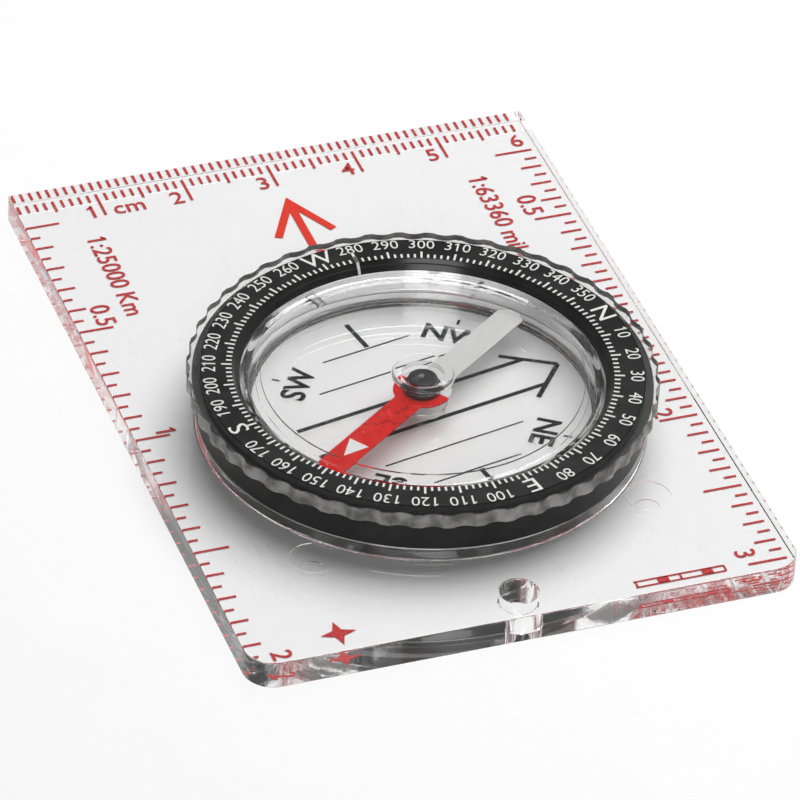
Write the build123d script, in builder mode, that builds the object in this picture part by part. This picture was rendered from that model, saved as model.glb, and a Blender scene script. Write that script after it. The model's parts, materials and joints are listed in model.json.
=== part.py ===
"""Baseplate compass: a clear ruler plate, a turning liquid capsule in a black dial, and a needle.

The frame's origin is the centre of the underside, +Y is the direction of travel and +Z is up.
Every turned piece is drawn as a (radius, height) outline beside the dial's axis.
"""

import os
from math import cos, radians, sin

from build123d import *

os.makedirs("parts", exist_ok=True)

# Base plate
plate_width = 60.2
plate_length = 85.7
plate_thickness = 3.2
square_corner_radius = 0.4
round_corner_radius = 3.2
plate_edge_round = 0.15
lanyard_radius = 2.0
lanyard_y = -38.7
lanyard_edge_chamfer = 0.15

# Where the dial turns
dial_y = -8.5
dial_plane = Plane.XZ.offset(-dial_y)
dial_axis = Axis((0, dial_y, 0), (0, 0, 1))
neck_radius = 19.75
ledge_height = 1.3
ledge_top = 2.4
recess_radius = 21.95
collar_radius = 23.85
collar_bore_radius = 22.75
collar_height = 1.3
collar_top = plate_thickness + collar_height
collar_foot_round = 0.25

# Moulding marks in the plate
mark_spacing = 37.0
mark_y = -27.5
lower_mark_radius = 1.4
upper_mark_radius = 2.45
mark_depth = 0.1

# Friction ring, a rubber ring in a groove of the plate's neck
cord_radius = 0.3
cord_centre_radius = 19.75
cord_height = 1.85
groove_radius = 20.08
groove_half_height = 0.35

# Capsule
capsule_radius = 19.3
capsule_bore_radius = 18.4
capsule_bottom = 0.35
capsule_floor_top = 1.35
capsule_wall_top = 7.7
foot_radius = 2.75
foot_top = 2.6
post_radius = 1.15
post_top = 3.8
pin_bore_bottom = 1.7

# Capsule cover
shoulder_height = 8.7
shoulder_radius = 18.9
rim_top = 9.05
window_radius = 17.1
window_top = 9.2
window_bevel = 0.05
cover_spigot_radius = 18.35
cover_spigot_drop = 0.4
cover_spigot_wall = 0.75
boss_radius = 3.26
boss_top = 9.73
pocket_radius = 2.3
pocket_top = 8.85

# Filler plug, pressed through the capsule's wall
plug_bearing = 343.5
plug_radius = 0.6
plug_height = 4.6

# Dial ring
dial_top = 9.87
dial_bottom = ledge_top + 0.1
face_inner_radius = 20.15
face_outer_radius = 23.4
face_lip_width = 0.05
face_lip_height = 0.04
dial_bore_radius = 19.35
bevel_step_radius = 19.7
bevel_step_height = 9.3
bevel_foot = 8.75
skirt_radius = 23.9
skirt_bottom = collar_top + 0.15
skirt_chamfer = 0.08
flange_radius = 24.35
flange_bottom = 7.6
spigot_radius = 22.68
channel_inner_radius = 20.6
channel_outer_radius = 21.9
channel_top = 8.0

# Grip ring
grip_bottom = 8.15
grip_top = 9.8
grip_bore_radius = 23.45
grip_peak_radius = 24.95
scallop_count = 48
scallop_radius = 2.3
scallop_depth = 0.33
scallop_centre_radius = grip_peak_radius + scallop_radius - scallop_depth
scallop_turn = -2.1
scallop_tip_round = 0.5
grip_edge_chamfer = 0.07

# Retaining ring, under the plate
retainer_bottom = 0.05
retainer_top = 1.2
retainer_lip_radius = 18.6
retainer_lip_top = 0.3
retainer_radius = 21.7
retainer_gap = 2.4

# Needle and its bearing
needle_bearing = 54.0
needle_half_length = 17.55
needle_shoulder = 16.7
needle_half_width = 1.6
needle_tip_half_width = 0.55
needle_eye_radius = 3.1
needle_bottom = 4.95
needle_top = 5.2
hub_bottom = 4.6
hub_spigot_radius = 1.3
hub_flange_radius = 2.0
hub_flange_top = 6.3
hub_cap_radius = 1.56
hub_top = 8.0
hub_bore_radius = 0.95
hub_bore_top = 6.8
cap_step_radius = 1.05
cap_step_depth = 0.15
dimple_radius = 0.6
dimple_depth = 0.33
jewel_radius = 0.8
jewel_top = 7.5
jewel_cone_radius = 0.6
jewel_cone_top = 7.15
pin_radius = 0.45
pin_shoulder = 5.6
pin_tip_radius = 0.06
pin_tip_height = 7.08
press_gap = 0.02


def turned_face(*points):
    """Closed outline from (radius, height) points, standing beside the dial's axis."""
    with BuildSketch(dial_plane) as outline:
        with BuildLine():
            Polyline(*points, close=True)
        make_face()
    return outline.sketch


def edges_at(part, height, radius):
    """Round edges of a turned part at one height and one radius."""
    rims = part.edges().filter_by(GeomType.CIRCLE)
    return [rim for rim in rims
            if abs(rim.center().Z - height) < 0.01 and abs(rim.radius - radius) < 0.01]


# Base plate: one moulding with the collar round the dial and the neck below it
with BuildPart() as base_plate:
    with BuildSketch():
        Rectangle(plate_width, plate_length)
    extrude(amount=plate_thickness)
    fillet(base_plate.edges().filter_by(Axis.Z).group_by(Axis.Y)[-1], square_corner_radius)
    fillet(base_plate.edges().filter_by(Axis.Z).group_by(Axis.Y)[0], round_corner_radius)
    fillet(base_plate.edges().filter_by(Axis.Z, reverse=True), plate_edge_round)
    with BuildSketch(Plane.XY.offset(plate_thickness)):
        with Locations((0, dial_y)):
            Circle(collar_radius)
    extrude(amount=collar_height)
    fillet(edges_at(base_plate, plate_thickness, collar_radius), collar_foot_round)
    neck_cut = turned_face(
        (0, -1),
        (recess_radius, -1),
        (recess_radius, ledge_height),
        (neck_radius, ledge_height),
        (neck_radius, cord_height - groove_half_height),
        (groove_radius, cord_height - groove_half_height),
        (groove_radius, cord_height + groove_half_height),
        (neck_radius, cord_height + groove_half_height),
        (neck_radius, ledge_top),
        (collar_bore_radius, ledge_top),
        (collar_bore_radius, collar_top + 1),
        (0, collar_top + 1),
    )
    revolve(neck_cut, axis=dial_axis, mode=Mode.SUBTRACT)
    with Locations((0, lanyard_y, plate_thickness)):
        Hole(lanyard_radius)
    chamfer(edges_at(base_plate, plate_thickness, lanyard_radius), lanyard_edge_chamfer)
    chamfer(edges_at(base_plate, 0, lanyard_radius), lanyard_edge_chamfer)
    with BuildSketch():
        with Locations((0, mark_y)):
            with GridLocations(mark_spacing, 1, 2, 1):
                Circle(lower_mark_radius)
    extrude(amount=mark_depth, mode=Mode.SUBTRACT)
    with BuildSketch(Plane.XY.offset(plate_thickness)):
        with Locations((0, mark_y)):
            with GridLocations(mark_spacing, 1, 2, 1):
                Circle(upper_mark_radius)
        with Locations((0, dial_y)):
            Circle(collar_radius + collar_foot_round, mode=Mode.SUBTRACT)
    extrude(amount=-mark_depth, mode=Mode.SUBTRACT)

# Friction ring: the rubber ring that the capsule's neck turns against
with BuildPart() as friction_ring:
    with BuildSketch(dial_plane):
        with Locations((cord_centre_radius, cord_height)):
            Circle(cord_radius)
    revolve(axis=dial_axis)

# Dial ring: graduated top face, bevel down to the capsule, skirt with a hollow underside
with BuildPart() as dial_ring:
    dial_outline = turned_face(
        (dial_bore_radius, dial_bottom),
        (channel_inner_radius, dial_bottom),
        (channel_inner_radius, channel_top),
        (channel_outer_radius, channel_top),
        (channel_outer_radius, dial_bottom),
        (spigot_radius, dial_bottom),
        (spigot_radius, skirt_bottom),
        (skirt_radius, skirt_bottom),
        (skirt_radius, flange_bottom),
        (flange_radius, flange_bottom),
        (flange_radius, grip_bottom - 0.05),
        (face_outer_radius, grip_bottom - 0.05),
        (face_outer_radius, dial_top),
        (face_outer_radius - face_lip_width, dial_top),
        (face_outer_radius - face_lip_width, dial_top - face_lip_height),
        (face_inner_radius, dial_top - face_lip_height),
        (bevel_step_radius + 0.12, bevel_step_height + 0.1),
        (bevel_step_radius, bevel_step_height),
        (dial_bore_radius, bevel_foot),
    )
    revolve(dial_outline, axis=dial_axis)
    chamfer(edges_at(dial_ring, skirt_bottom, skirt_radius), skirt_chamfer)

# Grip ring: clear ring with a scalloped edge for the fingers
with BuildPart() as grip_ring:
    with BuildSketch(Plane.XY.offset(grip_bottom)):
        with Locations((0, dial_y)):
            Circle(grip_peak_radius)
            with PolarLocations(scallop_centre_radius, scallop_count, start_angle=scallop_turn):
                Circle(scallop_radius, mode=Mode.SUBTRACT)
    extrude(amount=grip_top - grip_bottom)
    fillet(grip_ring.edges().filter_by(Axis.Z), scallop_tip_round)
    chamfer(grip_ring.faces().sort_by(Axis.Z)[-1].edges(), grip_edge_chamfer)
    chamfer(grip_ring.faces().sort_by(Axis.Z)[0].edges(), grip_edge_chamfer / 2)
    with BuildSketch(Plane.XY.offset(grip_bottom)):
        with Locations((0, dial_y)):
            Circle(grip_bore_radius)
    extrude(amount=grip_top - grip_bottom, mode=Mode.SUBTRACT)

# Capsule body: clear cup whose floor carries the foot and post of the pivot
with BuildPart() as capsule_body:
    cup_outline = turned_face(
        (0, capsule_bottom),
        (capsule_radius - 0.25, capsule_bottom),
        (capsule_radius, capsule_bottom + 0.25),
        (capsule_radius, capsule_wall_top),
        (capsule_bore_radius, capsule_wall_top),
        (capsule_bore_radius, capsule_floor_top),
        (foot_radius, capsule_floor_top),
        (foot_radius, foot_top),
        (post_radius, foot_top),
        (post_radius, post_top),
        (pin_radius, post_top),
        (pin_radius, pin_bore_bottom),
        (0, pin_bore_bottom),
    )
    revolve(cup_outline, axis=dial_axis)
    fillet(edges_at(capsule_body, capsule_floor_top, capsule_bore_radius), 0.5)
    fillet(edges_at(capsule_body, foot_top, foot_radius), 0.25)
    plug_seat = Plane(
        origin=(0, dial_y, plug_height),
        z_dir=(sin(radians(plug_bearing)), cos(radians(plug_bearing)), 0),
    )
    with BuildSketch(plug_seat):
        Circle(plug_radius)
    extrude(amount=capsule_radius + 1, mode=Mode.SUBTRACT)

# Filler plug: closes the hole that the capsule was filled through
with BuildPart() as filler_plug:
    with BuildSketch(plug_seat.offset(capsule_bore_radius - 0.15)):
        Circle(plug_radius - press_gap)
    extrude(amount=capsule_radius - capsule_bore_radius + 0.1)
    chamfer(filler_plug.edges().group_by(SortBy.DISTANCE)[0], 0.12)

# Capsule cover: clear lid with a raised window and a boss over the needle's hub
with BuildPart() as capsule_cover:
    cover_outline = turned_face(
        (0, pocket_top),
        (pocket_radius, pocket_top),
        (pocket_radius, capsule_wall_top),
        (cover_spigot_radius - cover_spigot_wall, capsule_wall_top),
        (cover_spigot_radius - cover_spigot_wall, capsule_wall_top - cover_spigot_drop),
        (cover_spigot_radius, capsule_wall_top - cover_spigot_drop),
        (cover_spigot_radius, capsule_wall_top + press_gap),
        (capsule_radius, capsule_wall_top + press_gap),
        (capsule_radius, shoulder_height),
        (shoulder_radius, rim_top),
        (window_radius + window_bevel, rim_top),
        (window_radius, window_top),
        (boss_radius, window_top),
        (boss_radius, boss_top),
        (0, boss_top),
    )
    revolve(cover_outline, axis=dial_axis)
    fillet(edges_at(capsule_cover, boss_top, boss_radius), 0.3)
    fillet(edges_at(capsule_cover, window_top, boss_radius), 0.15)

# Retaining ring: split ring on the capsule, below the plate's ledge, with a lip under the capsule
with BuildPart() as retaining_ring:
    retainer_outline = turned_face(
        (dial_bore_radius, retainer_lip_top),
        (retainer_lip_radius, retainer_lip_top),
        (retainer_lip_radius, retainer_bottom),
        (retainer_radius - 0.3, retainer_bottom),
        (retainer_radius, retainer_bottom + 0.3),
        (retainer_radius, retainer_top),
        (dial_bore_radius, retainer_top),
    )
    revolve(retainer_outline, axis=dial_axis)
    with BuildSketch(Plane.XY):
        with Locations((0, dial_y - capsule_radius)):
            Rectangle(retainer_gap, 2 * (retainer_radius - neck_radius) + 4)
    extrude(amount=retainer_top + 1, mode=Mode.SUBTRACT)

# Pivot pin: hardened point pressed into the capsule's post
with BuildPart() as pivot_pin:
    pin_outline = turned_face(
        (0, pin_bore_bottom + press_gap),
        (pin_radius - press_gap, pin_bore_bottom + press_gap),
        (pin_radius - press_gap, pin_shoulder),
        (pin_tip_radius, pin_tip_height),
        (0, pin_tip_height),
    )
    revolve(pin_outline, axis=dial_axis)

# Needle: flat magnetised strip with a round eye; its Y runs toward the white end
needle_plane = Plane(
    origin=(0, dial_y, needle_bottom),
    x_dir=(cos(radians(needle_bearing)), -sin(radians(needle_bearing)), 0),
    z_dir=(0, 0, 1),
)
with BuildPart() as needle_strip:
    with BuildSketch(needle_plane):
        with BuildLine():
            Polyline(
                (0, -needle_half_length),
                (needle_tip_half_width, -needle_half_length),
                (needle_half_width, -needle_shoulder),
                (needle_half_width, needle_shoulder),
                (needle_tip_half_width, needle_half_length),
                (0, needle_half_length),
            )
            mirror(about=Plane.YZ)
        make_face()
        Circle(needle_eye_radius)
        Circle(hub_spigot_radius + press_gap, mode=Mode.SUBTRACT)
    extrude(amount=needle_top - needle_bottom)

# Needle hub: black jewel holder, riveted through the eye of the strip
with BuildPart() as needle_hub:
    hub_outline = turned_face(
        (hub_bore_radius, hub_bottom),
        (hub_spigot_radius, hub_bottom),
        (hub_spigot_radius, needle_top),
        (hub_flange_radius, needle_top),
        (hub_flange_radius, hub_flange_top),
        (hub_cap_radius, hub_flange_top),
        (hub_cap_radius, hub_top),
        (cap_step_radius + 0.1, hub_top),
        (cap_step_radius, hub_top - cap_step_depth),
        (dimple_radius, hub_top - cap_step_depth),
        (0, hub_top - dimple_depth),
        (0, jewel_top + press_gap),
        (jewel_radius + press_gap, jewel_top + press_gap),
        (jewel_radius + press_gap, hub_bore_top),
        (hub_bore_radius, hub_bore_top - 0.3),
    )
    revolve(hub_outline, axis=dial_axis)
    fillet(edges_at(needle_hub, hub_top, hub_cap_radius), 0.2)
    fillet(edges_at(needle_hub, hub_flange_top, hub_flange_radius), 0.2)

# Jewel cup: the hard bearing that rides on the pin's point
with BuildPart() as jewel_cup:
    jewel_outline = turned_face(
        (jewel_cone_radius, hub_bore_top + press_gap),
        (jewel_radius, hub_bore_top + press_gap),
        (jewel_radius, jewel_top),
        (0, jewel_top),
        (0, jewel_cone_top),
    )
    revolve(jewel_outline, axis=dial_axis)

base_plate.part.label = "base_plate"
export_step(base_plate.part, "parts/base_plate.step")
friction_ring.part.label = "friction_ring"
export_step(friction_ring.part, "parts/friction_ring.step")
dial_ring.part.label = "dial_ring"
export_step(dial_ring.part, "parts/dial_ring.step")
grip_ring.part.label = "grip_ring"
export_step(grip_ring.part, "parts/grip_ring.step")
capsule_body.part.label = "capsule_body"
export_step(capsule_body.part, "parts/capsule_body.step")
filler_plug.part.label = "filler_plug"
export_step(filler_plug.part, "parts/filler_plug.step")
capsule_cover.part.label = "capsule_cover"
export_step(capsule_cover.part, "parts/capsule_cover.step")
retaining_ring.part.label = "retaining_ring"
export_step(retaining_ring.part, "parts/retaining_ring.step")
pivot_pin.part.label = "pivot_pin"
export_step(pivot_pin.part, "parts/pivot_pin.step")
needle_strip.part.label = "needle_strip"
export_step(needle_strip.part, "parts/needle_strip.step")
needle_hub.part.label = "needle_hub"
export_step(needle_hub.part, "parts/needle_hub.step")
jewel_cup.part.label = "jewel_cup"
export_step(jewel_cup.part, "parts/jewel_cup.step")
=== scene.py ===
"""Looks of a baseplate compass: prints, damping liquid, finishes and a small studio.

Laid out as an add-on. Sizes and colours are settings, each piece or group of like pieces has
an operator, and main() runs them in order. All is in metres, in the frame of the CAD model:
+Y is the direction of travel, +Z is up, and the plate's underside is at zero.
"""

import json
from collections import namedtuple
from math import atan2, cos, pi, radians, sin

import bmesh
import bpy
from bpy.props import FloatProperty, FloatVectorProperty, IntProperty, PointerProperty
from mathutils import Matrix, Vector


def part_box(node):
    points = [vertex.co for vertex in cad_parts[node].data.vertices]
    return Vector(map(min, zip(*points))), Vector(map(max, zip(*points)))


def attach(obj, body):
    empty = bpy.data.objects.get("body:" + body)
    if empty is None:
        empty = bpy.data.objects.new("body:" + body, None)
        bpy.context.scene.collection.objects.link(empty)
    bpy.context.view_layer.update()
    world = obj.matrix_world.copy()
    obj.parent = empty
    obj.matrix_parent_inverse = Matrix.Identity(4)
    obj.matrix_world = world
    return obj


bl_info = {
    "name": "Baseplate Compass",
    "version": (1, 0, 0),
    "blender": (4, 5, 0),
    "location": "3D View > Sidebar > Compass",
    "description": "Prints, liquid, finishes and studio for a baseplate compass",
    "category": "Object",
}

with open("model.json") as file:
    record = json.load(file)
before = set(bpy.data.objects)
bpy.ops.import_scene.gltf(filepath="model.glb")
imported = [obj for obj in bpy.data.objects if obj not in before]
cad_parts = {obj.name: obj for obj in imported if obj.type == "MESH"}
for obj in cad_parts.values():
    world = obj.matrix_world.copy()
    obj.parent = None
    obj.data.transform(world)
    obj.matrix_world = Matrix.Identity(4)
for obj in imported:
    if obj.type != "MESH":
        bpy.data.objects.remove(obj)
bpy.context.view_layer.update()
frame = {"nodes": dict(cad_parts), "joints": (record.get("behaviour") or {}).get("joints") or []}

MM = 0.001
WELD = 0.0005 * MM
PLASTIC_IOR = 1.49
OIL_IOR = 1.43
JEWEL_IOR = 1.76
DIAL_CENTRE = Vector(next(joint["pos_m"] for joint in frame["joints"] if joint["name"] == "dial_turn"))
PLATE_LOW, PLATE_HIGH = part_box("base_plate")
DIAL_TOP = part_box("dial_ring")[1].z
CAPSULE_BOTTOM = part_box("capsule_body")[0].z
STRIP_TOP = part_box("needle_strip")[1].z
CARDINALS = {0: "N", 90: "E", 180: "S", 270: "W"}
QUARTERS = {45: "NE", 135: "SE", 225: "SW", 315: "NW"}


def length(name, description, millimetres):
    """A size property with its default given in millimetres."""
    return FloatProperty(
        name=name,
        description=description,
        default=millimetres * MM,
        subtype="DISTANCE",
        unit="LENGTH",
        precision=5,
    )


def spot(name, description, *millimetres):
    """A place property with its default given in millimetres."""
    return FloatVectorProperty(
        name=name,
        description=description,
        default=[part * MM for part in millimetres],
        size=len(millimetres),
        subtype="TRANSLATION",
        unit="LENGTH",
    )


def factor(name, description, default):
    """A plain number."""
    return FloatProperty(name=name, description=description, default=default, precision=3)


def angle(name, description, degrees):
    """An angle property with its default given in degrees."""
    return FloatProperty(
        name=name,
        description=description,
        default=radians(degrees),
        subtype="ANGLE",
        unit="ROTATION",
    )


def colour(name, description, *rgb):
    """A colour property."""
    return FloatVectorProperty(
        name=name, description=description, default=rgb, subtype="COLOR", size=3, min=0.0, max=1.0
    )


# Settings


class PlatePrintSettings(bpy.types.PropertyGroup):
    ink: colour("Ink", "Colour of the scales", 0.46, 0.006, 0.008)
    height: length("Print height", "How far the print lies above the underside", 0.02)
    thickness: length("Ink thickness", "How thick the ink is", 0.02)
    line: length("Line width", "Width of the scales' ticks", 0.3)
    margin: length("Margin", "Gap between the plate's edge and the ticks", 0.45)
    long_tick: length("Centimetre tick", "Length of a centimetre's tick", 4.0)
    middle_tick: length("Half centimetre tick", "Length of a half centimetre's tick", 1.95)
    short_tick: length("Millimetre tick", "Length of a millimetre's tick", 1.35)
    label: length("Label height", "Height of the scales' numbers", 2.15)
    label_drop: length("Label drop", "From the ticks' outer ends to the numbers' middles", 3.1)
    label_shift: length("Label shift", "How far a number's middle lies before its tick", 1.5)
    unit_shift: length("Unit shift", "From the plate's corner to the middle of cm", 12.9)
    title: length("Title height", "Height of the scales' titles", 2.1)
    weight: factor("Weight", "How much bolder the lettering is", 0.006)


class TravelArrowSettings(bpy.types.PropertyGroup):
    ink: colour("Ink", "Colour of the travel arrow", 0.66, 0.022, 0.004)
    line: length("Line width", "Width of the arrow's strokes", 0.92)
    tip: length("Tip", "How far ahead of the plate's middle the arrow's tip is", 36.0)
    head: length("Head", "Length of the arrow's head", 6.8)
    barb: length("Barb", "How far the arrow's barbs reach to the side", 3.6)
    foot: length("Foot", "How far ahead of the plate's middle the arrow's shaft ends", 19.0)


class PlateMarkSettings(bpy.types.PropertyGroup):
    star: spot("Star", "Middle of the star mark", -19.3, -38.1)
    star_reach: length("Star reach", "From the star's middle to its points", 1.9)
    star_waist: length("Star waist", "From the star's middle to the corners between points", 0.7)
    bar_start: spot("Bar start", "Left end of the bar scale's middle line", 12.6, -39.3)
    bar_length: length("Bar length", "Length of the bar scale", 10.0)
    bar_height: length("Bar height", "Height of the bar scale", 0.9)
    bar_line: length("Bar line", "Width of the bar scale's lines", 0.2)
    bar_step: length("Bar step", "From one block of the bar scale to the next", 2.45)


class DialPrintSettings(bpy.types.PropertyGroup):
    ink: colour("Ink", "Colour of the graduation", 0.66, 0.66, 0.65)
    black: colour("Dial plastic", "Colour of the dial", 0.008, 0.0078, 0.0078)
    grip_grey: colour("Grip wall", "Colour of the grip ring's scalloped wall", 0.54, 0.52, 0.50)
    grip_seat: length("Grip seat", "Radius that parts the grip ring's seat from its scallops", 24.0)
    polish: length("Polish", "Radius within which the dial's bevel is polished", 20.1)
    north: angle("North bearing", "Where north on the dial points at rest", 79.0)
    thickness: length("Ink thickness", "How thick the ink is", 0.02)
    lip: length("Lip", "How far the graduated face lies below the dial's highest edge", 0.04)
    tick_foot: length("Tick foot", "Radius where the ticks start", 20.16)
    face_inner: length("Face edge", "Radius where the graduated face meets the bevel", 20.15)
    short_tick: length("Short tick", "Length of a two degree tick", 0.62)
    long_tick: length("Long tick", "Length of a ten degree tick", 1.1)
    line: length("Tick width", "Width of the ticks", 0.23)
    number_radius: length("Number radius", "Radius of the numbers' middle", 22.6)
    number: length("Number height", "Height of the numbers", 1.45)
    number_weight: factor("Number weight", "How much bolder the numbers are", -0.004)
    number_squeeze: factor("Number width", "Width of the numbers, 1 for the font's own", 0.93)
    index: angle("Index", "Graduation that the index line stands at", 280.0)
    index_reach: length("Index reach", "Radius where the index line ends on the face", 22.1)
    index_line: length("Index width", "Width of the index line", 0.3)
    cardinal: length("Letter height", "Height of N, E, S and W", 2.1)
    cardinal_radius: length("Letter radius", "Radius of the letters' middle", 22.28)
    cardinal_squeeze: factor("Letter width", "Width of the letters, 1 for the font's own", 1.12)


class LiquidSettings(bpy.types.PropertyGroup):
    overlap: length("Overlap", "How far the liquid reaches into the plastic round it", 0.02)
    radius: length("Radius", "Radius of the capsule's cavity", 18.4)
    bottom: length("Bottom", "Height of the floor's upper face", 1.35)
    side_top: length("Side top", "Height of the cover's foot", 7.3)
    window_radius: length("Window radius", "Radius of the hollow under the window", 17.6)
    window_top: length("Window top", "Height of the window's underside", 7.7)
    boss_radius: length("Boss radius", "Radius of the hollow in the boss over the hub", 2.3)
    boss_top: length("Boss top", "Height of the boss's underside", 8.85)
    post_radius: length("Post radius", "Radius of the post that holds the pin", 1.15)
    post_top: length("Post top", "Height of the post's top", 3.8)
    foot_radius: length("Foot radius", "Radius of the post's foot", 2.75)
    foot_top: length("Foot top", "Height of the post's foot", 2.6)


class CapsulePrintSettings(bpy.types.PropertyGroup):
    ink: colour("Ink", "Colour of the marking on the capsule's floor", 0.003, 0.003, 0.003)
    height: length("Print height", "How far the print lies above the capsule's underside", 0.02)
    thickness: length("Ink thickness", "How thick the ink is", 0.02)
    bold: length("Bold line", "Width of the orienting lines", 0.56)
    fine: length("Fine line", "Width of the meridian lines", 0.22)
    shaft: length("Shaft", "How far the orienting lines lie from the middle", 2.4)
    shaft_foot: length("Shaft foot", "How far south the orienting lines reach", 13.7)
    shaft_top: length("Shaft top", "How far north the orienting lines reach", 13.9)
    head_tip: length("Head tip", "How far north the orienting arrow's tip is", 16.9)
    head_foot: length("Head foot", "How far north the orienting arrow's barbs end", 12.0)
    head_width: length("Head width", "How far the orienting arrow's barbs reach to the side", 4.1)
    east_inner: length("East mark start", "From the middle to the east and west marks", 11.9)
    east_outer: length("East mark end", "From the middle to the marks' outer ends", 16.4)
    east_shift: length("East mark shift", "How far north of the middle the marks lie", 0.3)
    inner_line: length("Inner line", "How far the inner meridian lines lie from the middle", 6.95)
    inner_reach: length("Inner reach", "Half the length of the inner meridian lines", 8.4)
    outer_line: length("Outer line", "How far the outer meridian lines lie from the middle", 11.65)
    outer_reach: length("Outer reach", "Half the length of the outer meridian lines", 5.3)
    letter: length("Letter height", "Height of the quarter letters", 2.5)
    letter_radius: length("Letter radius", "Radius of the quarter letters' middle", 13.5)
    letter_weight: factor("Letter weight", "How much bolder the letters are", 0.028)
    tick_radius: length("Tick radius", "Radius of the quarter ticks' middle", 15.95)
    tick_line: length("Tick width", "Width of the quarter ticks", 0.3)
    tick_length: length("Tick length", "Length of the quarter ticks", 0.9)


class NeedleSettings(bpy.types.PropertyGroup):
    red: colour("Red", "Colour of the north half", 0.58, 0.008, 0.004)
    silver: colour("Silver", "Colour of the south half", 0.46, 0.46, 0.45)
    silver_start: length("Silver start", "How far past the pivot the silver begins", 0.5)
    wear_inner: length("Wear start", "From the pivot to the start of the red half's specks", 3.0)
    wear_outer: length("Wear end", "From the pivot to the end of the red half's specks", 9.0)
    bearing: angle("Bearing", "Where the silver end points at rest", 54.0)
    index_base: length("Index base", "Distance from the pivot to the index mark's base", 11.6)
    index_tip: length("Index tip", "Distance from the pivot to the index mark's tip", 14.4)
    index_half_width: length("Index half width", "Half the width of the index mark", 1.2)
    thickness: length("Paint thickness", "How thick the index mark's paint is", 0.012)


class StudioSettings(bpy.types.PropertyGroup):
    aim: spot("Aim", "What the camera looks at", -1.79, -6.8, 5.0)
    heading: angle("Heading", "The camera's heading, clockwise from the direction of travel", 21.16)
    elevation: angle("Elevation", "The camera's height above the horizon", 36.93)
    roll: angle("Roll", "The camera's tilt to its side", 2.96)
    distance: length("Distance", "From the camera to what it looks at", 719.0)
    lens: factor("Lens", "Focal length in millimetres", 306.08)
    sensor: factor("Sensor", "Sensor's width in millimetres", 36.0)
    paper: colour("Paper", "Colour of the sheet that the compass lies on", 0.86, 0.86, 0.86)
    sheet: length("Sheet", "Half the width of the sheet", 1500.0)
    gap: length("Gap", "Gap between the plate's underside and the sheet", 0.08)
    softbox_place: spot("Softbox place", "Middle of the side light", 130.0, 85.0, 475.0)
    softbox_size: length("Softbox size", "Width of the side light", 480.0)
    softbox: factor("Softbox", "Strength of the side light in watts", 3.0)
    fill_place: spot("Fill place", "Middle of the front light", -190.0, -430.0, 360.0)
    fill_size: length("Fill size", "Width of the front light", 300.0)
    fill: factor("Fill", "Strength of the front light in watts", 0.6)
    sky: factor("Sky", "Brightness of the room", 0.16)
    bounces: IntProperty(name="Bounces", description="How many clear surfaces light may pass", default=32)


# Shader nodes


class Value:
    """One output socket; arithmetic on it adds Math nodes to its finish."""

    def __init__(self, finish, socket):
        self.finish = finish
        self.socket = socket

    def math(self, operation, *values):
        return self.finish.node("ShaderNodeMath", {"operation": operation}, dict(enumerate(values)))

    def __add__(self, other):
        return self.math("ADD", self, other)

    def __radd__(self, other):
        return self.math("ADD", other, self)

    def __sub__(self, other):
        return self.math("SUBTRACT", self, other)

    def __rsub__(self, other):
        return self.math("SUBTRACT", other, self)

    def __mul__(self, other):
        return self.math("MULTIPLY", self, other)

    def __rmul__(self, other):
        return self.math("MULTIPLY", other, self)

    def __gt__(self, other):
        return self.math("GREATER_THAN", self, other)

    def __lt__(self, other):
        return self.math("LESS_THAN", self, other)

    def __abs__(self):
        return self.math("ABSOLUTE", self)

    def ramp(self, *stops):
        """This value through a colour ramp of (place, brightness) stops."""
        return self.finish.node("ShaderNodeValToRGB", {"stops": stops}, {"Fac": self})


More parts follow.
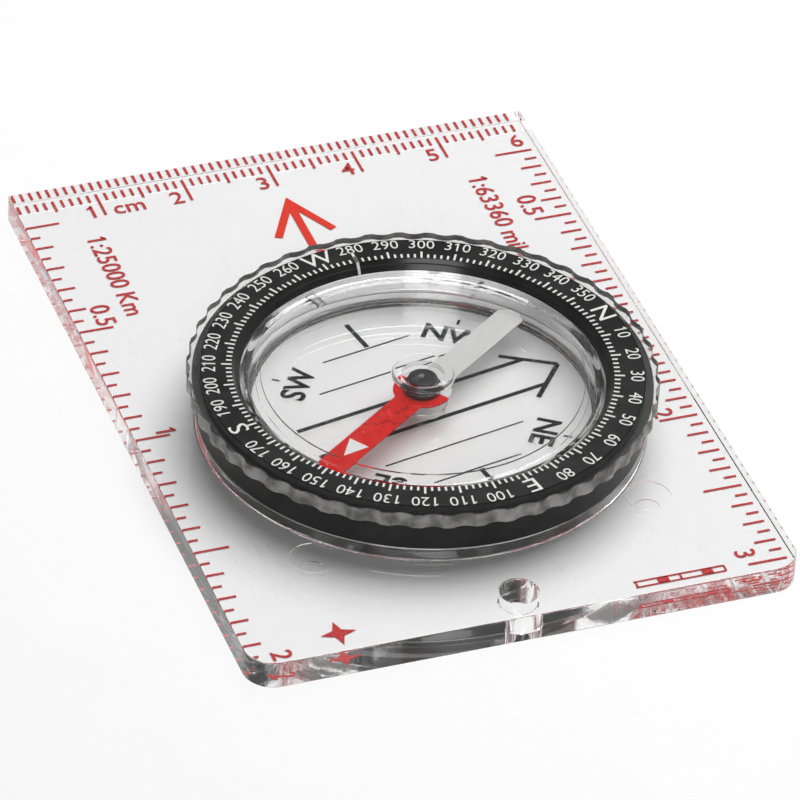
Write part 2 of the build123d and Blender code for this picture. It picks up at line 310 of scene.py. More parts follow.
class Finish:
    """A procedural material under construction."""

    def __init__(self, name):
        self.material = bpy.data.materials.new(name)
        self.material.use_nodes = True
        self.tree = self.material.node_tree
        self.tree.nodes.clear()
        self.place = self.node("ShaderNodeTexCoord", output="Object")

    def node(self, kind, settings=None, inputs=None, output=0):
        """Adds a node, with its settings first and then its sockets, and returns an output."""
        node = self.tree.nodes.new(kind)
        for name, value in (settings or {}).items():
            if name == "stops":
                self.set_stops(node.color_ramp, value)
            else:
                setattr(node, name, value)
        for name, value in (inputs or {}).items():
            if isinstance(value, Value):
                self.tree.links.new(value.socket, node.inputs[name])
            else:
                node.inputs[name].default_value = value
        return Value(self, node.outputs[output])

    def set_stops(self, ramp, stops):
        """Sets a colour ramp's stops, each a place and a brightness."""
        while len(ramp.elements) < len(stops):
            ramp.elements.new(0.5)
        for element, (place, brightness) in zip(ramp.elements, stops):
            element.position = place
            element.color = (brightness, brightness, brightness, 1.0)

    def noise(self, size, detail=3.0, distortion=0.0, place=None):
        """Cloudy noise from 0 to 1, with features about size metres wide."""
        inputs = {
            "Vector": place or self.place,
            "Scale": 1.0 / size,
            "Detail": detail,
            "Distortion": distortion,
        }
        return self.node("ShaderNodeTexNoise", {}, inputs)

    def stretched(self, place, scale, turn=(0.0, 0.0, 0.0)):
        """Coordinates that stretch a texture along the axes whose scale is below 1."""
        return self.node("ShaderNodeMapping", {}, {"Vector": place, "Rotation": turn, "Scale": scale})

    def dial_radius(self):
        """Distance from the dial's axis, in metres."""
        settings = {"operation": "MULTIPLY_ADD"}
        inputs = {0: self.place, 1: (1.0, 1.0, 0.0), 2: (-DIAL_CENTRE.x, -DIAL_CENTRE.y, 0.0)}
        flat = self.node("ShaderNodeVectorMath", settings, inputs)
        return self.node("ShaderNodeVectorMath", {"operation": "LENGTH"}, {0: flat}, output="Value")

    def mix(self, factor, first, second):
        """A mix of two colours."""
        inputs = {0: factor, 6: opaque(first), 7: opaque(second)}
        return self.node("ShaderNodeMix", {"data_type": "RGBA"}, inputs, output=2)

    def bump(self, height, distance):
        """A normal from a height, whose full swing is distance metres."""
        return self.node("ShaderNodeBump", {}, {"Height": height, "Distance": distance})

    def principled(self, **inputs):
        """The finish's main shader; names are sockets' names with _ for a space."""
        named = {key.replace("_", " "): value for key, value in inputs.items()}
        return self.node("ShaderNodeBsdfPrincipled", {}, named)

    def mix_shader(self, factor, first, second):
        """One shader where the factor is 0, the other where it is 1."""
        return self.node("ShaderNodeMixShader", {}, {0: factor, 1: first, 2: second})

    def see_through(self, shader, tint):
        """Lets lamps and scattered light pass a clear shader unbent, tinted once a surface."""
        clear = self.node("ShaderNodeBsdfTransparent", {}, {"Color": opaque(tint)})
        scattered = self.node("ShaderNodeLightPath", output="Is Diffuse Ray")
        lamp = self.node("ShaderNodeLightPath", output="Is Shadow Ray")
        return self.mix_shader(lamp, self.mix_shader(scattered, shader, clear), clear)

    def done(self, shader):
        """Links the shader to the output and returns the material."""
        output = self.tree.nodes.new("ShaderNodeOutputMaterial")
        self.tree.links.new(shader.socket, output.inputs["Surface"])
        return self.material


def opaque(value):
    """A colour with its alpha, or a socket as it is."""
    return value if isinstance(value, Value) else (*value, 1.0)


def grey(level):
    """A neutral colour."""
    return (level, level, level)


def shade(rgb, factor):
    """A colour made darker or lighter by a factor."""
    return tuple(factor * channel for channel in rgb)


# Finishes


def clear_plastic(name, tint, ior, roughness, scratch_size, lamp_tint=grey(0.98)):
    """Polished clear plastic with hairlines and faint flow marks."""
    finish = Finish(name)
    streaked = finish.stretched(finish.place, (1.0, 0.12, 1.0), turn=(0.3, 0.2, 0.7))
    hairs = finish.noise(scratch_size, detail=5.0, distortion=1.4, place=streaked)
    hairline = hairs.ramp((0.0, 0.0), (0.497, 0.0), (0.5, 1.0), (0.503, 0.0))
    patch = finish.noise(9 * MM, detail=2.0).ramp((0.45, 0.0), (0.62, 1.0))
    scratch = hairline * patch
    flow = finish.noise(3 * MM)
    shader = finish.principled(
        Base_Color=finish.mix(scratch * 0.5, tint, grey(0.4)),
        Roughness=roughness + scratch * 0.25 + flow * 0.5 * roughness,
        IOR=ior,
        Transmission_Weight=1.0,
        Normal=finish.bump(flow + scratch * 0.3, 0.004 * MM),
    )
    return finish.done(finish.see_through(shader, lamp_tint))


def grip_plastic(name, tint, wall_grey, seat_radius):
    """Clear plastic with a grey grain on its scalloped wall, and black where it seats on the dial."""
    finish = Finish(name)
    grain = finish.noise(0.3 * MM, detail=4.0)
    cloud = finish.noise(1.6 * MM)
    radius = finish.dial_radius()
    facing = finish.node("ShaderNodeNewGeometry", output="Normal")
    upward = abs(finish.node("ShaderNodeSeparateXYZ", {}, {0: facing}, output="Z"))
    wall = 1.0 - upward.ramp((0.55, 0.0), (0.8, 1.0))
    clear = finish.principled(
        Base_Color=finish.mix(cloud, tint, grey(0.9)),
        Roughness=0.04 + cloud * 0.04,
        IOR=PLASTIC_IOR,
        Transmission_Weight=1.0,
        Normal=finish.bump(cloud, 0.01 * MM),
    )
    frosted = finish.principled(
        Base_Color=finish.mix(cloud.ramp((0.38, 0.0), (0.62, 1.0)), wall_grey, grey(0.16)),
        Roughness=0.42 + grain * 0.2,
        IOR=PLASTIC_IOR,
        Transmission_Weight=0.45,
        Normal=finish.bump(grain, 0.03 * MM),
    )
    black = finish.principled(Base_Color=finish.mix(cloud, grey(0.008), grey(0.012)), Roughness=0.5)
    shader = finish.mix_shader((radius > seat_radius) * wall, clear, frosted)
    shader = finish.mix_shader((radius < seat_radius) * wall, shader, black)
    return finish.done(finish.see_through(shader, grey(0.9)))


def satin_plastic(name, base, roughness, grain_size, grain_depth, gloss=0.2, polished_within=0.0):
    """Moulded opaque plastic: fine grain, wear that lightens it, and a polish near the dial's axis."""
    finish = Finish(name)
    grain = finish.noise(grain_size, detail=5.0)
    cloud = finish.noise(4 * MM)
    worn = tuple(min(1.0, channel * 1.9 + 0.004) for channel in base)
    shader = finish.principled(
        Base_Color=finish.mix(cloud.ramp((0.4, 0.0), (0.75, 1.0)), base, worn),
        Roughness=roughness + (grain - 0.5) * 0.12 + (cloud - 0.5) * 0.1,
        IOR=1.5,
        Specular_IOR_Level=gloss,
        Coat_Weight=(finish.dial_radius() < polished_within) * (0.7 + 0.3 * cloud),
        Coat_Roughness=0.16,
        Normal=finish.bump(grain, grain_depth),
    )
    return finish.done(shader)


def ink(name, base, patchiness, gloss=0.1):
    """Screen-printed ink: a matt film with slightly uneven cover."""
    finish = Finish(name)
    cover = finish.noise(0.28 * MM, detail=4.0)
    thin = tuple(channel + (0.75 - channel) * patchiness for channel in base)
    shader = finish.principled(
        Base_Color=finish.mix(cover.ramp((0.35, 0.0), (0.75, 1.0)), base, thin),
        Roughness=0.42 + cover * 0.2,
        IOR=1.45,
        Specular_IOR_Level=gloss,
        Normal=finish.bump(cover, 0.01 * MM),
    )
    return finish.done(shader)


def needle_paint(name, settings):
    """The strip's paint: red from the pivot to the north end, silver to the south end."""
    finish = Finish(name)
    turn = {
        "Vector": finish.place,
        "Location": (DIAL_CENTRE.x, DIAL_CENTRE.y, 0.0),
        "Rotation": (0.0, 0.0, -settings.bearing),
    }
    turned = finish.node("ShaderNodeMapping", {"vector_type": "TEXTURE"}, turn)
    along = finish.node("ShaderNodeSeparateXYZ", {}, {0: turned}, output="Y")
    silver = along > settings.silver_start
    grain = finish.noise(0.12 * MM, detail=4.0, place=finish.stretched(turned, (1.0, 0.06, 1.0)))
    cloud = finish.noise(1.2 * MM)
    worn = (along > -settings.wear_outer) * (along < -settings.wear_inner)
    speck = finish.noise(0.45 * MM, detail=1.0).ramp((0.56, 0.0), (0.62, 1.0)) * worn
    red = tuple(settings.red)
    pale = tuple(settings.silver)
    clouded = finish.mix(cloud.ramp((0.45, 0.0), (0.8, 1.0)), red, shade(red, 0.78))
    specked = finish.mix(speck * 0.6, clouded, shade(red, 0.3))
    brushed = finish.mix(grain.ramp((0.3, 0.0), (0.7, 1.0)), pale, shade(pale, 0.9))
    shader = finish.principled(
        Base_Color=finish.mix(silver, specked, brushed),
        Roughness=0.5 + (cloud - 0.5) * 0.12,
        Metallic=silver * 0.15,
        IOR=1.5,
        Specular_IOR_Level=0.06,
        Normal=finish.bump(grain, 0.004 * MM),
    )
    return finish.done(shader)


def ground_steel(name):
    """Ground hardened steel, with fine rings round its axis."""
    finish = Finish(name)
    rings = finish.noise(0.05 * MM, place=finish.stretched(finish.place, (0.05, 0.05, 1.0)))
    shader = finish.principled(
        Base_Color=finish.mix(rings, grey(0.45), grey(0.68)),
        Roughness=0.22 + rings * 0.15,
        Metallic=1.0,
        Normal=finish.bump(rings, 0.003 * MM),
    )
    return finish.done(shader)


def oil(name):
    """The thin clear oil that steadies the needle."""
    finish = Finish(name)
    cloud = finish.noise(8 * MM)
    shader = finish.principled(
        Base_Color=finish.mix(cloud, grey(0.995), grey(0.985)),
        Roughness=0.0,
        IOR=OIL_IOR,
        Transmission_Weight=1.0,
    )
    return finish.done(finish.see_through(shader, grey(0.995)))


def paper(name, base):
    """A plain pale sheet with a faint fibre."""
    finish = Finish(name)
    fibre = finish.noise(0.5 * MM, detail=5.0)
    cloud = finish.noise(14 * MM, detail=2.0)
    shader = finish.principled(
        Base_Color=finish.mix(fibre * 0.5 + cloud * 0.5, base, shade(base, 0.96)),
        Roughness=0.75 + fibre * 0.1,
        Normal=finish.bump(fibre, 0.012 * MM),
    )
    return finish.done(shader)


def dress(material, *nodes):
    """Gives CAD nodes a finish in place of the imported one."""
    for name in nodes:
        for slot in frame["nodes"][name].material_slots:
            slot.material = material


# Shapes


def bar(bm, place, width, length, thickness):
    """A flat bar centred on place, its length along place's Y, standing up from place."""
    shape = Matrix.Translation((0, 0, thickness / 2)) @ Matrix.Diagonal((width, length, thickness, 1))
    bmesh.ops.create_cube(bm, size=1.0, matrix=place @ shape)


def stroke(bm, start, end, height, width, thickness):
    """A straight line of ink from start to end, at a height."""
    run = Vector(end) - Vector(start)
    middle = (Vector(start) + Vector(end)) / 2
    turn = Matrix.Rotation(Vector((0, 1)).angle_signed(run), 4, "Z").inverted()
    bar(bm, Matrix.Translation((*middle, height)) @ turn, width, run.length, thickness)


def flat_shape(bm, points, place, thickness):
    """A flat shape with these corners, thickened upwards from place."""
    face = bm.faces.new([bm.verts.new(place @ Vector((x, y, 0))) for x, y in points])
    if face.normal.z < 0:
        bmesh.ops.reverse_faces(bm, faces=[face])
    swept = bmesh.ops.extrude_face_region(bm, geom=[face], use_keep_orig=True)["geom"]
    raised = [part for part in swept if isinstance(part, bmesh.types.BMVert)]
    bmesh.ops.translate(bm, verts=raised, vec=(0, 0, thickness))


# The font's own sizes, for a text size of 1: its capitals' height, its setting to the right, and
# a flag for its plain 1, measured from the bar's right edge.
CAPITAL_HEIGHT = 0.682
SIDE_BEARING = 0.02
ONE_FLAG = ((-0.05, 0.682), (-0.215, 0.575), (-0.215, 0.485), (-0.05, 0.57))


def glyph_mesh(text, thickness, weight):
    """Flat lettering as a mesh: its baseline starts at the origin, for a text size of 1."""
    curve = bpy.data.curves.new("lettering", "FONT")
    curve.body = text
    curve.offset = weight
    curve.extrude = thickness / 2
    curve.resolution_u = 3
    holder = bpy.data.objects.new("lettering", curve)
    mesh = bpy.data.meshes.new_from_object(holder)
    bpy.data.objects.remove(holder)
    bpy.data.curves.remove(curve)
    return mesh


def right_edge(text):
    """How far the ink of a text reaches to the right, for a size of 1."""
    mesh = glyph_mesh(text, 0.0, 0.0)
    reach = max(vertex.co.x for vertex in mesh.vertices)
    bpy.data.meshes.remove(mesh)
    return reach


def lettering(bm, text, place, cap_height, thickness, weight, squeeze=1.0):
    """Lettering centred on place, its tops along place's Y; weight is for a text size of 1."""
    size = cap_height / CAPITAL_HEIGHT
    shift = Matrix.Translation((-right_edge(text) / 2 - SIDE_BEARING, -CAPITAL_HEIGHT / 2, 0))
    fit = place @ Matrix.Diagonal((size * squeeze, size, 1, 1)) @ shift
    mesh = glyph_mesh(text, thickness, weight)
    mesh.transform(fit @ Matrix.Translation((0, 0, thickness / 2)))
    bm.from_mesh(mesh)
    bpy.data.meshes.remove(mesh)
    for index, character in enumerate(text):
        if character == "1":
            bar_right = right_edge(text[: index + 1])
            flat_shape(bm, [(x + bar_right, y) for x, y in ONE_FLAG], fit, thickness)


def mesh_object(name, bm, material):
    """Turns a bmesh into an object with one material."""
    mesh = bpy.data.meshes.new(name)
    bm.to_mesh(mesh)
    bm.free()
    mesh.materials.append(material)
    thing = bpy.data.objects.new(name, mesh)
    bpy.context.scene.collection.objects.link(thing)
    return thing


def make_piece(name, bm, material, body):
    """Turns a bmesh into a finished piece that rides on a body."""
    bmesh.ops.remove_doubles(bm, verts=bm.verts, dist=WELD)
    bmesh.ops.recalc_face_normals(bm, faces=bm.faces)
    piece = mesh_object(name, bm, material)
    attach(piece, body)
    return piece


def dial_place(bearing, radius, height):
    """A place beside the dial's axis, its Y pointing away from the axis along a bearing."""
    turn = Matrix.Rotation(-bearing, 4, "Z")
    centre = Matrix.Translation((DIAL_CENTRE.x, DIAL_CENTRE.y, height))
    return centre @ turn @ Matrix.Translation((0, radius, 0))


# Plate

# A scale along one of the plate's long sides, in millimetres from the plate's middle. Its ticks
# go backwards from zero, every group-th the longest; inner_ends is where the longest, even and
# odd ones end. Each text has its middle's x and y.
SideScale = namedtuple("SideScale", "name side zero pitch ticks group inner_ends numbers title")

KILOMETRES = SideScale(
    name="scale_25000",
    side=-29.65,
    zero=38.27,
    pitch=1.991,
    ticks=40,
    group=10,
    inner_ends=(-25.55, -27.4, -28.3),
    numbers=(("0.5", -26.0, 20.7), ("1", -25.8, -0.65), ("2", -25.95, -39.8)),
    title=("1:25000 Km", -22.5, 27.3),
)
MILES = SideScale(
    name="scale_63360",
    side=29.47,
    zero=37.23,
    pitch=1.5977,
    ticks=49,
    group=8,
    inner_ends=(25.17, 27.08, 28.1),
    numbers=(("0.5", 25.6, 27.2), ("1", 25.6, 12.0), ("2", 26.0, -12.7), ("3", 25.5, -37.6)),
    title=("1:63360 miles", 21.7, 25.5),
)


class CompassPlate(bpy.types.Operator):
    """Gives the base plate its clear, polished finish."""

    bl_idname = "compass.plate"
    bl_label = "Base plate"

    def execute(self, context):
        tint = grey(0.975)
        acrylic = clear_plastic("clear_acrylic", tint, PLASTIC_IOR, roughness=0.02, scratch_size=1.6 * MM)
        dress(acrylic, "base_plate")
        return {"FINISHED"}


class CompassScales(bpy.types.Operator):
    """Prints the centimetre, 1:25000 and 1:63360 scales under the plate."""

    bl_idname = "compass.scales"
    bl_label = "Plate scales"

    def execute(self, context):
        settings = context.scene.compass_plate_print
        red = ink("scale_red_ink", tuple(settings.ink), patchiness=0.12)
        self.centimetres(settings, red)
        self.side_scale(settings, red, KILOMETRES)
        self.side_scale(settings, red, MILES)
        return {"FINISHED"}

    def tick(self, bm, settings, start, end):
        stroke(bm, start, end, settings.height, settings.line, settings.thickness)

    def label(self, bm, settings, text, x, y, turn, height):
        place = Matrix.Translation((x, y, settings.height)) @ Matrix.Rotation(radians(turn), 4, "Z")
        lettering(bm, text, place, height, settings.thickness, settings.weight)

    def centimetres(self, settings, material):
        """The ruler along the plate's front edge."""
        bm = bmesh.new()
        top = PLATE_HIGH.y - settings.margin
        text_y = top - settings.label_drop
        longer = {0: settings.long_tick, 5: settings.middle_tick}
        for count in range(1, 60):
            x = PLATE_LOW.x + count * MM
            self.tick(bm, settings, (x, top), (x, top - longer.get(count % 10, settings.short_tick)))
        for number in range(1, 7):
            x = PLATE_LOW.x + 10 * number * MM - settings.label_shift
            self.label(bm, settings, str(number), x, text_y, 0, settings.label)
        self.label(bm, settings, "cm", PLATE_LOW.x + settings.unit_shift, text_y, 0, settings.label)
        make_piece("scale_centimetres", bm, material, "base")

    def side_scale(self, settings, material, scale):
        """A map scale along one of the plate's long sides."""
        bm = bmesh.new()
        longest, even, odd = scale.inner_ends
        for count in range(scale.ticks):
            y = (scale.zero - scale.pitch * count) * MM
            inner = longest if count % scale.group == 0 else even if count % 2 == 0 else odd
            self.tick(bm, settings, (scale.side * MM, y), (inner * MM, y))
        for text, x, y in scale.numbers:
            self.label(bm, settings, text, x * MM, y * MM, -90, settings.label)
        text, x, y = scale.title
        self.label(bm, settings, text, x * MM, y * MM, -90, settings.title)
        make_piece(scale.name, bm, material, "base")


class CompassTravelArrow(bpy.types.Operator):
    """Prints the direction of travel arrow under the plate."""

    bl_idname = "compass.travel_arrow"
    bl_label = "Travel arrow"

    def execute(self, context):
        layer = context.scene.compass_plate_print
        settings = context.scene.compass_travel_arrow
        half = settings.line / 2
        tip = Vector((0.0, settings.tip))
        barb = Vector((settings.barb, settings.tip - settings.head))
        along = (barb - tip).normalized()
        inward = Vector((along.y, -along.x)) * settings.line
        notch = tip + inward + along * (half - inward.x) / along.x
        right = [tip, barb, barb + inward, notch, Vector((half, settings.foot))]
        left = [(-x, y) for x, y in reversed(right[1:])]
        bm = bmesh.new()
        flat_shape(bm, right + left, Matrix.Translation((0, 0, layer.height)), layer.thickness)
        make_piece("travel_arrow", bm, ink("arrow_red_ink", tuple(settings.ink), patchiness=0.05), "base")
        return {"FINISHED"}


class CompassPlateMarks(bpy.types.Operator):
    """Prints a plain star mark and a plain bar scale near the plate's rear edge."""

    bl_idname = "compass.plate_marks"
    bl_label = "Plate marks"

    def execute(self, context):
        layer = context.scene.compass_plate_print
        settings = context.scene.compass_plate_marks
        red = bpy.data.materials["scale_red_ink"]
        self.star(layer, settings, red)
        self.bar_scale(layer, settings, red)
        return {"FINISHED"}

    def star(self, layer, settings, material):
        points = []
        for corner in range(8):
            reach = settings.star_waist if corner % 2 else settings.star_reach
            points.append((reach * sin(corner * pi / 4), reach * cos(corner * pi / 4)))
        bm = bmesh.new()
        flat_shape(bm, points, Matrix.Translation((*settings.star, layer.height)), layer.thickness)
        make_piece("star_mark", bm, material, "base")

    def bar_scale(self, layer, settings, material):
        """Two long lines with short lines and filled blocks by turns between them."""
        left, middle = settings.bar_start
        half = settings.bar_height / 2
        bm = bmesh.new()
        for y in (middle - half, middle + half):
            ends = (left, y), (left + settings.bar_length, y)
            stroke(bm, *ends, layer.height, settings.bar_line, layer.thickness)
        for block in range(5):
            x = left + settings.bar_line / 2 + block * settings.bar_step
            run = settings.bar_step / 2 if block % 2 else settings.bar_line
            ends = (x, middle), (x + run, middle)
            stroke(bm, *ends, layer.height, settings.bar_height, layer.thickness)
        make_piece("bar_scale", bm, material, "base")


# Dial

# The bevel within the graduated face, from the top down: radius and height in millimetres.
BEVEL_STEPS = ((19.82, 9.4), (19.7, 9.3), (19.35, 8.75))


class CompassDial(bpy.types.Operator):
    """Finishes the black dial, its clear grip ring, and the rings that hold and brake it."""

    bl_idname = "compass.dial"
    bl_label = "Dial and rings"

    def execute(self, context):
        settings = context.scene.compass_dial_print
        black = tuple(settings.black)
        wall_grey = tuple(settings.grip_grey)
        satin = satin_plastic(
            "dial_black",
            black,
            roughness=0.36,
            grain_size=0.16 * MM,
            grain_depth=0.006 * MM,
            polished_within=settings.polish,
        )
        dress(satin, "dial_ring", "retaining_ring")
        rubber = satin_plastic(
            "friction_rubber", grey(0.02), roughness=0.6, grain_size=0.1 * MM, grain_depth=0.01 * MM
        )
        dress(rubber, "friction_ring")
        dress(grip_plastic("clear_grip", grey(0.97), wall_grey, settings.grip_seat), "grip_ring")
        return {"FINISHED"}


class CompassGraduation(bpy.types.Operator):
    """Prints the dial's ticks, numbers, letters and index line."""

    bl_idname = "compass.graduation"
    bl_label = "Dial graduation"

    def execute(self, context):
        settings = context.scene.compass_dial_print
        white = ink("dial_white_ink", tuple(settings.ink), patchiness=0.1)
        face = DIAL_TOP - settings.lip
        self.ticks(settings, face, white)
        self.numbers(settings, face, white)
        self.index_line(settings, face, white)
        return {"FINISHED"}

    def ticks(self, settings, face, white):
        bm = bmesh.new()
        for degree in range(0, 360, 2):
            run = settings.long_tick if degree % 10 == 0 else settings.short_tick
            place = dial_place(settings.north + radians(degree), settings.tick_foot + run / 2, face)
            bar(bm, place, settings.line, run, settings.thickness)
        make_piece("dial_ticks", bm, white, "dial")

    def numbers(self, settings, face, white):
        bm = bmesh.new()
        for degree in range(0, 360, 10):
            bearing = settings.north + radians(degree)
            if degree in CARDINALS:
                place = dial_place(bearing, settings.cardinal_radius, face)
                style = (settings.cardinal, settings.thickness, 0.0, settings.cardinal_squeeze)
            else:
                place = dial_place(bearing, settings.number_radius, face)
                style = (settings.number, settings.thickness, settings.number_weight, settings.number_squeeze)
            lettering(bm, CARDINALS.get(degree, str(degree)), place, *style)
        make_piece("dial_numbers", bm, white, "dial")

    def index_line(self, settings, face, white):
        """A white line across the face and down the bevel, to read the bearing at."""
        bearing = settings.north + settings.index
        run = settings.index_reach - settings.face_inner
        bm = bmesh.new()
        place = dial_place(bearing, settings.face_inner + run / 2, face)
        bar(bm, place, settings.index_line, run, settings.thickness)
        steps = [(settings.face_inner, face)] + [(radius * MM, z * MM) for radius, z in BEVEL_STEPS]
        for (upper_radius, upper), (lower_radius, lower) in zip(steps, steps[1:]):
            drop = Vector((upper_radius - lower_radius, upper - lower))
            slope = Matrix.Rotation(atan2(drop.y, drop.x), 4, "X")
            middle = dial_place(bearing, (upper_radius + lower_radius) / 2, (upper + lower) / 2)
            bar(bm, middle @ slope, settings.index_line, drop.length, settings.thickness)
        make_piece("dial_index", bm, white, "dial")


# Capsule


class CompassCapsule(bpy.types.Operator):
    """Finishes the clear capsule and fills it with damping liquid."""

    bl_idname = "compass.capsule"
    bl_label = "Capsule and liquid"

    def execute(self, context):
        look = {"roughness": 0.008, "scratch_size": 0.9 * MM, "lamp_tint": grey(0.993)}
        plastic = clear_plastic("clear_capsule", grey(0.99), PLASTIC_IOR, **look)
        dress(plastic, "capsule_body", "capsule_cover", "filler_plug")
        self.liquid(context.scene.compass_liquid)
        return {"FINISHED"}

    def liquid(self, settings):
        """The liquid reaches a hair into the plastic, so that no film of air shows between."""
        more = settings.overlap
        outline = (
            (0.0, settings.post_top - more),
            (settings.post_radius - more, settings.post_top - more),
            (settings.post_radius - more, settings.foot_top - more),
            (settings.foot_radius - more, settings.foot_top - more),
            (settings.foot_radius - more, settings.bottom - more),
            (settings.radius + more, settings.bottom - more),
            (settings.radius + more, settings.side_top + more),
            (settings.window_radius + more, settings.side_top + more),
            (settings.window_radius + more, settings.window_top + more),
            (settings.boss_radius + more, settings.window_top + more),
            (settings.boss_radius + more, settings.boss_top + more),
            (0.0, settings.boss_top + more),
        )
        bm = bmesh.new()
        centre = Vector((DIAL_CENTRE.x, DIAL_CENTRE.y, 0))
        verts = [bm.verts.new(centre + Vector((radius, 0, z))) for radius, z in outline]
        edges = [bm.edges.new(pair) for pair in zip(verts, verts[1:])]
        whole_turn = {"cent": centre, "axis": (0, 0, 1), "angle": 2 * pi, "steps": 128}
        bmesh.ops.spin(bm, geom=verts + edges, use_merge=True, **whole_turn)
        liquid = make_piece("damping_liquid", bm, oil("damping_liquid"), "dial")
        liquid.data.shade_smooth()
        liquid.data.set_sharp_from_angle(angle=radians(30))


class CompassCapsulePrint(bpy.types.Operator):
    """Prints the orienting arrow, meridian lines and quarter letters on the capsule's floor."""

    bl_idname = "compass.capsule_print"
    bl_label = "Capsule marking"

    def execute(self, context):
        settings = context.scene.compass_capsule_print
        north = context.scene.compass_dial_print.north
        black = ink("capsule_black_ink", tuple(settings.ink), patchiness=0.01, gloss=0.0)
        self.orienting_arrow(settings, north, black)
        self.meridian_lines(settings, north, black)
        self.quarter_letters(settings, north, black)
        return {"FINISHED"}

    def print_piece(self, name, bm, material):
        """The floor's print lies against the sheet, so it throws no shadow of its own."""
        make_piece(name, bm, material, "dial").visible_shadow = False

    def line(self, bm, settings, north, start, end, width):
        """A line between two places given as east and north of the dial's axis."""
        place = dial_place(north, 0.0, 0.0)
        ends = [(place @ Vector((*point, 0))).to_2d() for point in (start, end)]
        stroke(bm, *ends, CAPSULE_BOTTOM + settings.height, width, settings.thickness)

    def orienting_arrow(self, settings, north, material):
        """Two bold lines, the arrow's head, and bold marks to the east and the west."""
        bm = bmesh.new()
        for side in (-1, 1):
            shaft = side * settings.shaft
            foot = (shaft, -settings.shaft_foot)
            self.line(bm, settings, north, foot, (shaft, settings.shaft_top), settings.bold)
            barb = (side * settings.head_width, settings.head_foot)
            self.line(bm, settings, north, (0, settings.head_tip), barb, settings.bold)
            inner = (side * settings.east_inner, settings.east_shift)
            outer = (side * settings.east_outer, settings.east_shift)
            self.line(bm, settings, north, inner, outer, settings.bold)
        self.print_piece("orienting_arrow", bm, material)

    def meridian_lines(self, settings, north, material):
        lines = (settings.inner_line, settings.inner_reach), (settings.outer_line, settings.outer_reach)
        bm = bmesh.new()
        for side in (-1, 1):
            for distance, reach in lines:
                x = side * distance
                self.line(bm, settings, north, (x, -reach), (x, reach), settings.fine)
        self.print_piece("meridian_lines", bm, material)

    def quarter_letters(self, settings, north, material):
        """NE, SE, SW and NW, each with a tick beyond it."""
        height = CAPSULE_BOTTOM + settings.height
        bm = bmesh.new()
        for degree, letters in QUARTERS.items():
            bearing = north + radians(degree)
            place = dial_place(bearing, settings.letter_radius, height)
            lettering(bm, letters, place, settings.letter, settings.thickness, settings.letter_weight)
            place = dial_place(bearing, settings.tick_radius, height)
            bar(bm, place, settings.tick_line, settings.tick_length, settings.thickness)
        self.print_piece("quarter_letters", bm, material)


# Needle


class CompassNeedle(bpy.types.Operator):
    """Paints the needle, marks its north end, and finishes its hub, jewel and pin."""

    bl_idname = "compass.needle"
    bl_label = "Needle and pivot"

    def execute(self, context):
        settings = context.scene.compass_needle
        dress(needle_paint("needle_paint", settings), "needle_strip")
        hub = satin_plastic(
            "hub_black", grey(0.008), roughness=0.2, grain_size=0.1 * MM, grain_depth=0.002 * MM, gloss=0.5
        )
        dress(hub, "needle_hub")
        dress(ground_steel("pin_steel"), "pivot_pin")
        tint = (0.9, 0.94, 0.98)
        jewel = clear_plastic("jewel", tint, JEWEL_IOR, roughness=0.01, scratch_size=0.2 * MM)
        dress(jewel, "jewel_cup")
        self.index_mark(settings)
        return {"FINISHED"}

    def index_mark(self, settings):
        """A white triangle on the red half, pointing to the needle's north end."""
        corners = (
            (-settings.index_half_width, settings.index_base),
            (settings.index_half_width, settings.index_base),
            (0.0, settings.index_tip),
        )
        bm = bmesh.new()
        place = dial_place(settings.bearing + pi, 0.0, STRIP_TOP)
        flat_shape(bm, corners, place, settings.thickness)
        make_piece("needle_index", bm, ink("index_white_paint", grey(0.7), patchiness=0.1), "needle")


# Studio


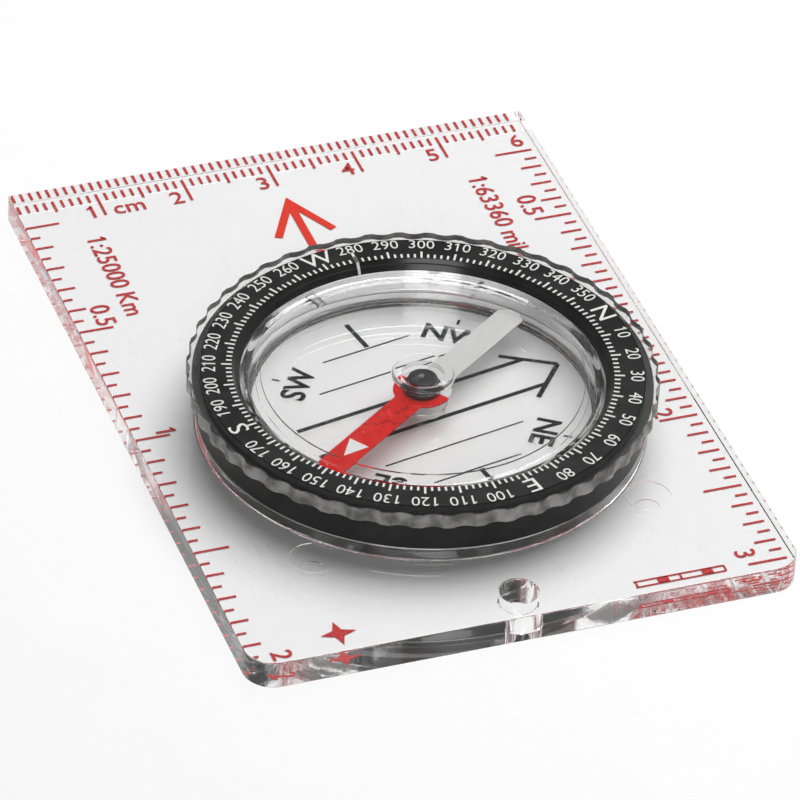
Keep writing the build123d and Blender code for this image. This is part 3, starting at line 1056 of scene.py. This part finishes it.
class CompassStudio(bpy.types.Operator):
    """Lays the compass on a pale sheet under soft light and sets the camera."""

    bl_idname = "compass.studio"
    bl_label = "Studio"

    def execute(self, context):
        settings = context.scene.compass_studio
        self.sheet(settings)
        self.camera(context, settings)
        self.light("softbox", settings.softbox_place, settings.softbox_size, settings.softbox)
        self.light("front_fill", settings.fill_place, settings.fill_size, settings.fill)
        self.room(context, settings)
        context.scene.view_settings.view_transform = "Standard"
        cycles = context.scene.cycles
        cycles.transparent_max_bounces = settings.bounces
        cycles.transmission_bounces = settings.bounces
        cycles.glossy_bounces = settings.bounces
        cycles.max_bounces = settings.bounces
        return {"FINISHED"}

    def sheet(self, settings):
        bm = bmesh.new()
        bmesh.ops.create_grid(bm, x_segments=8, y_segments=8, size=settings.sheet)
        bmesh.ops.translate(bm, verts=bm.verts, vec=(0, 0, PLATE_LOW.z - settings.gap))
        sheet = mesh_object("paper_sheet", bm, paper("paper", tuple(settings.paper)))

    def camera(self, context, settings):
        data = bpy.data.cameras.new("camera")
        data.lens = settings.lens
        data.sensor_width = settings.sensor
        data.clip_start = 0.01
        data.clip_end = 20.0
        camera = bpy.data.objects.new("camera", data)
        heading = Matrix.Rotation(-settings.heading, 4, "Z")
        turn = heading @ Matrix.Rotation(pi / 2 - settings.elevation, 4, "X")
        place = Vector(settings.aim) + turn @ Vector((0, 0, settings.distance))
        camera.matrix_world = Matrix.Translation(place) @ turn @ Matrix.Rotation(settings.roll, 4, "Z")
        context.scene.collection.objects.link(camera)
        context.scene.camera = camera

    def light(self, name, place, size, power):
        """A round lamp that faces the dial."""
        data = bpy.data.lights.new(name, "AREA")
        data.shape = "DISK"
        data.size = size
        data.energy = power
        lamp = bpy.data.objects.new(name, data)
        lamp.location = place
        lamp.rotation_euler = (DIAL_CENTRE - Vector(place)).to_track_quat("-Z", "Y").to_euler()
        bpy.context.scene.collection.objects.link(lamp)

    def room(self, context, settings):
        world = bpy.data.worlds.new("room")
        world.use_nodes = True
        background = world.node_tree.nodes["Background"]
        background.inputs["Color"].default_value = (1, 1, 1, 1)
        background.inputs["Strength"].default_value = settings.sky
        context.scene.world = world


# Add-on

SETTINGS = {
    "compass_plate_print": PlatePrintSettings,
    "compass_travel_arrow": TravelArrowSettings,
    "compass_plate_marks": PlateMarkSettings,
    "compass_dial_print": DialPrintSettings,
    "compass_liquid": LiquidSettings,
    "compass_capsule_print": CapsulePrintSettings,
    "compass_needle": NeedleSettings,
    "compass_studio": StudioSettings,
}
STEPS = (
    CompassStudio,
    CompassPlate,
    CompassScales,
    CompassTravelArrow,
    CompassPlateMarks,
    CompassDial,
    CompassGraduation,
    CompassCapsule,
    CompassCapsulePrint,
    CompassNeedle,
)


class CompassPanel(bpy.types.Panel):
    """Lists the compass's pieces."""

    bl_idname = "VIEW3D_PT_compass"
    bl_label = "Baseplate compass"
    bl_space_type = "VIEW_3D"
    bl_region_type = "UI"
    bl_category = "Compass"

    def draw(self, context):
        for step in STEPS:
            self.layout.operator(step.bl_idname)


def register():
    for name, group in SETTINGS.items():
        bpy.utils.register_class(group)
        setattr(bpy.types.Scene, name, PointerProperty(type=group))
    for step in STEPS:
        bpy.utils.register_class(step)
    bpy.utils.register_class(CompassPanel)


def unregister():
    bpy.utils.unregister_class(CompassPanel)
    for step in reversed(STEPS):
        bpy.utils.unregister_class(step)
    for name, group in SETTINGS.items():
        delattr(bpy.types.Scene, name)
        bpy.utils.unregister_class(group)


def call(idname):
    """Runs an operator by its idname."""
    category, name = idname.split(".")
    getattr(getattr(bpy.ops, category), name)()


def main():
    register()
    for step in STEPS:
        call(step.bl_idname)


if __name__ == "__main__":
    main()
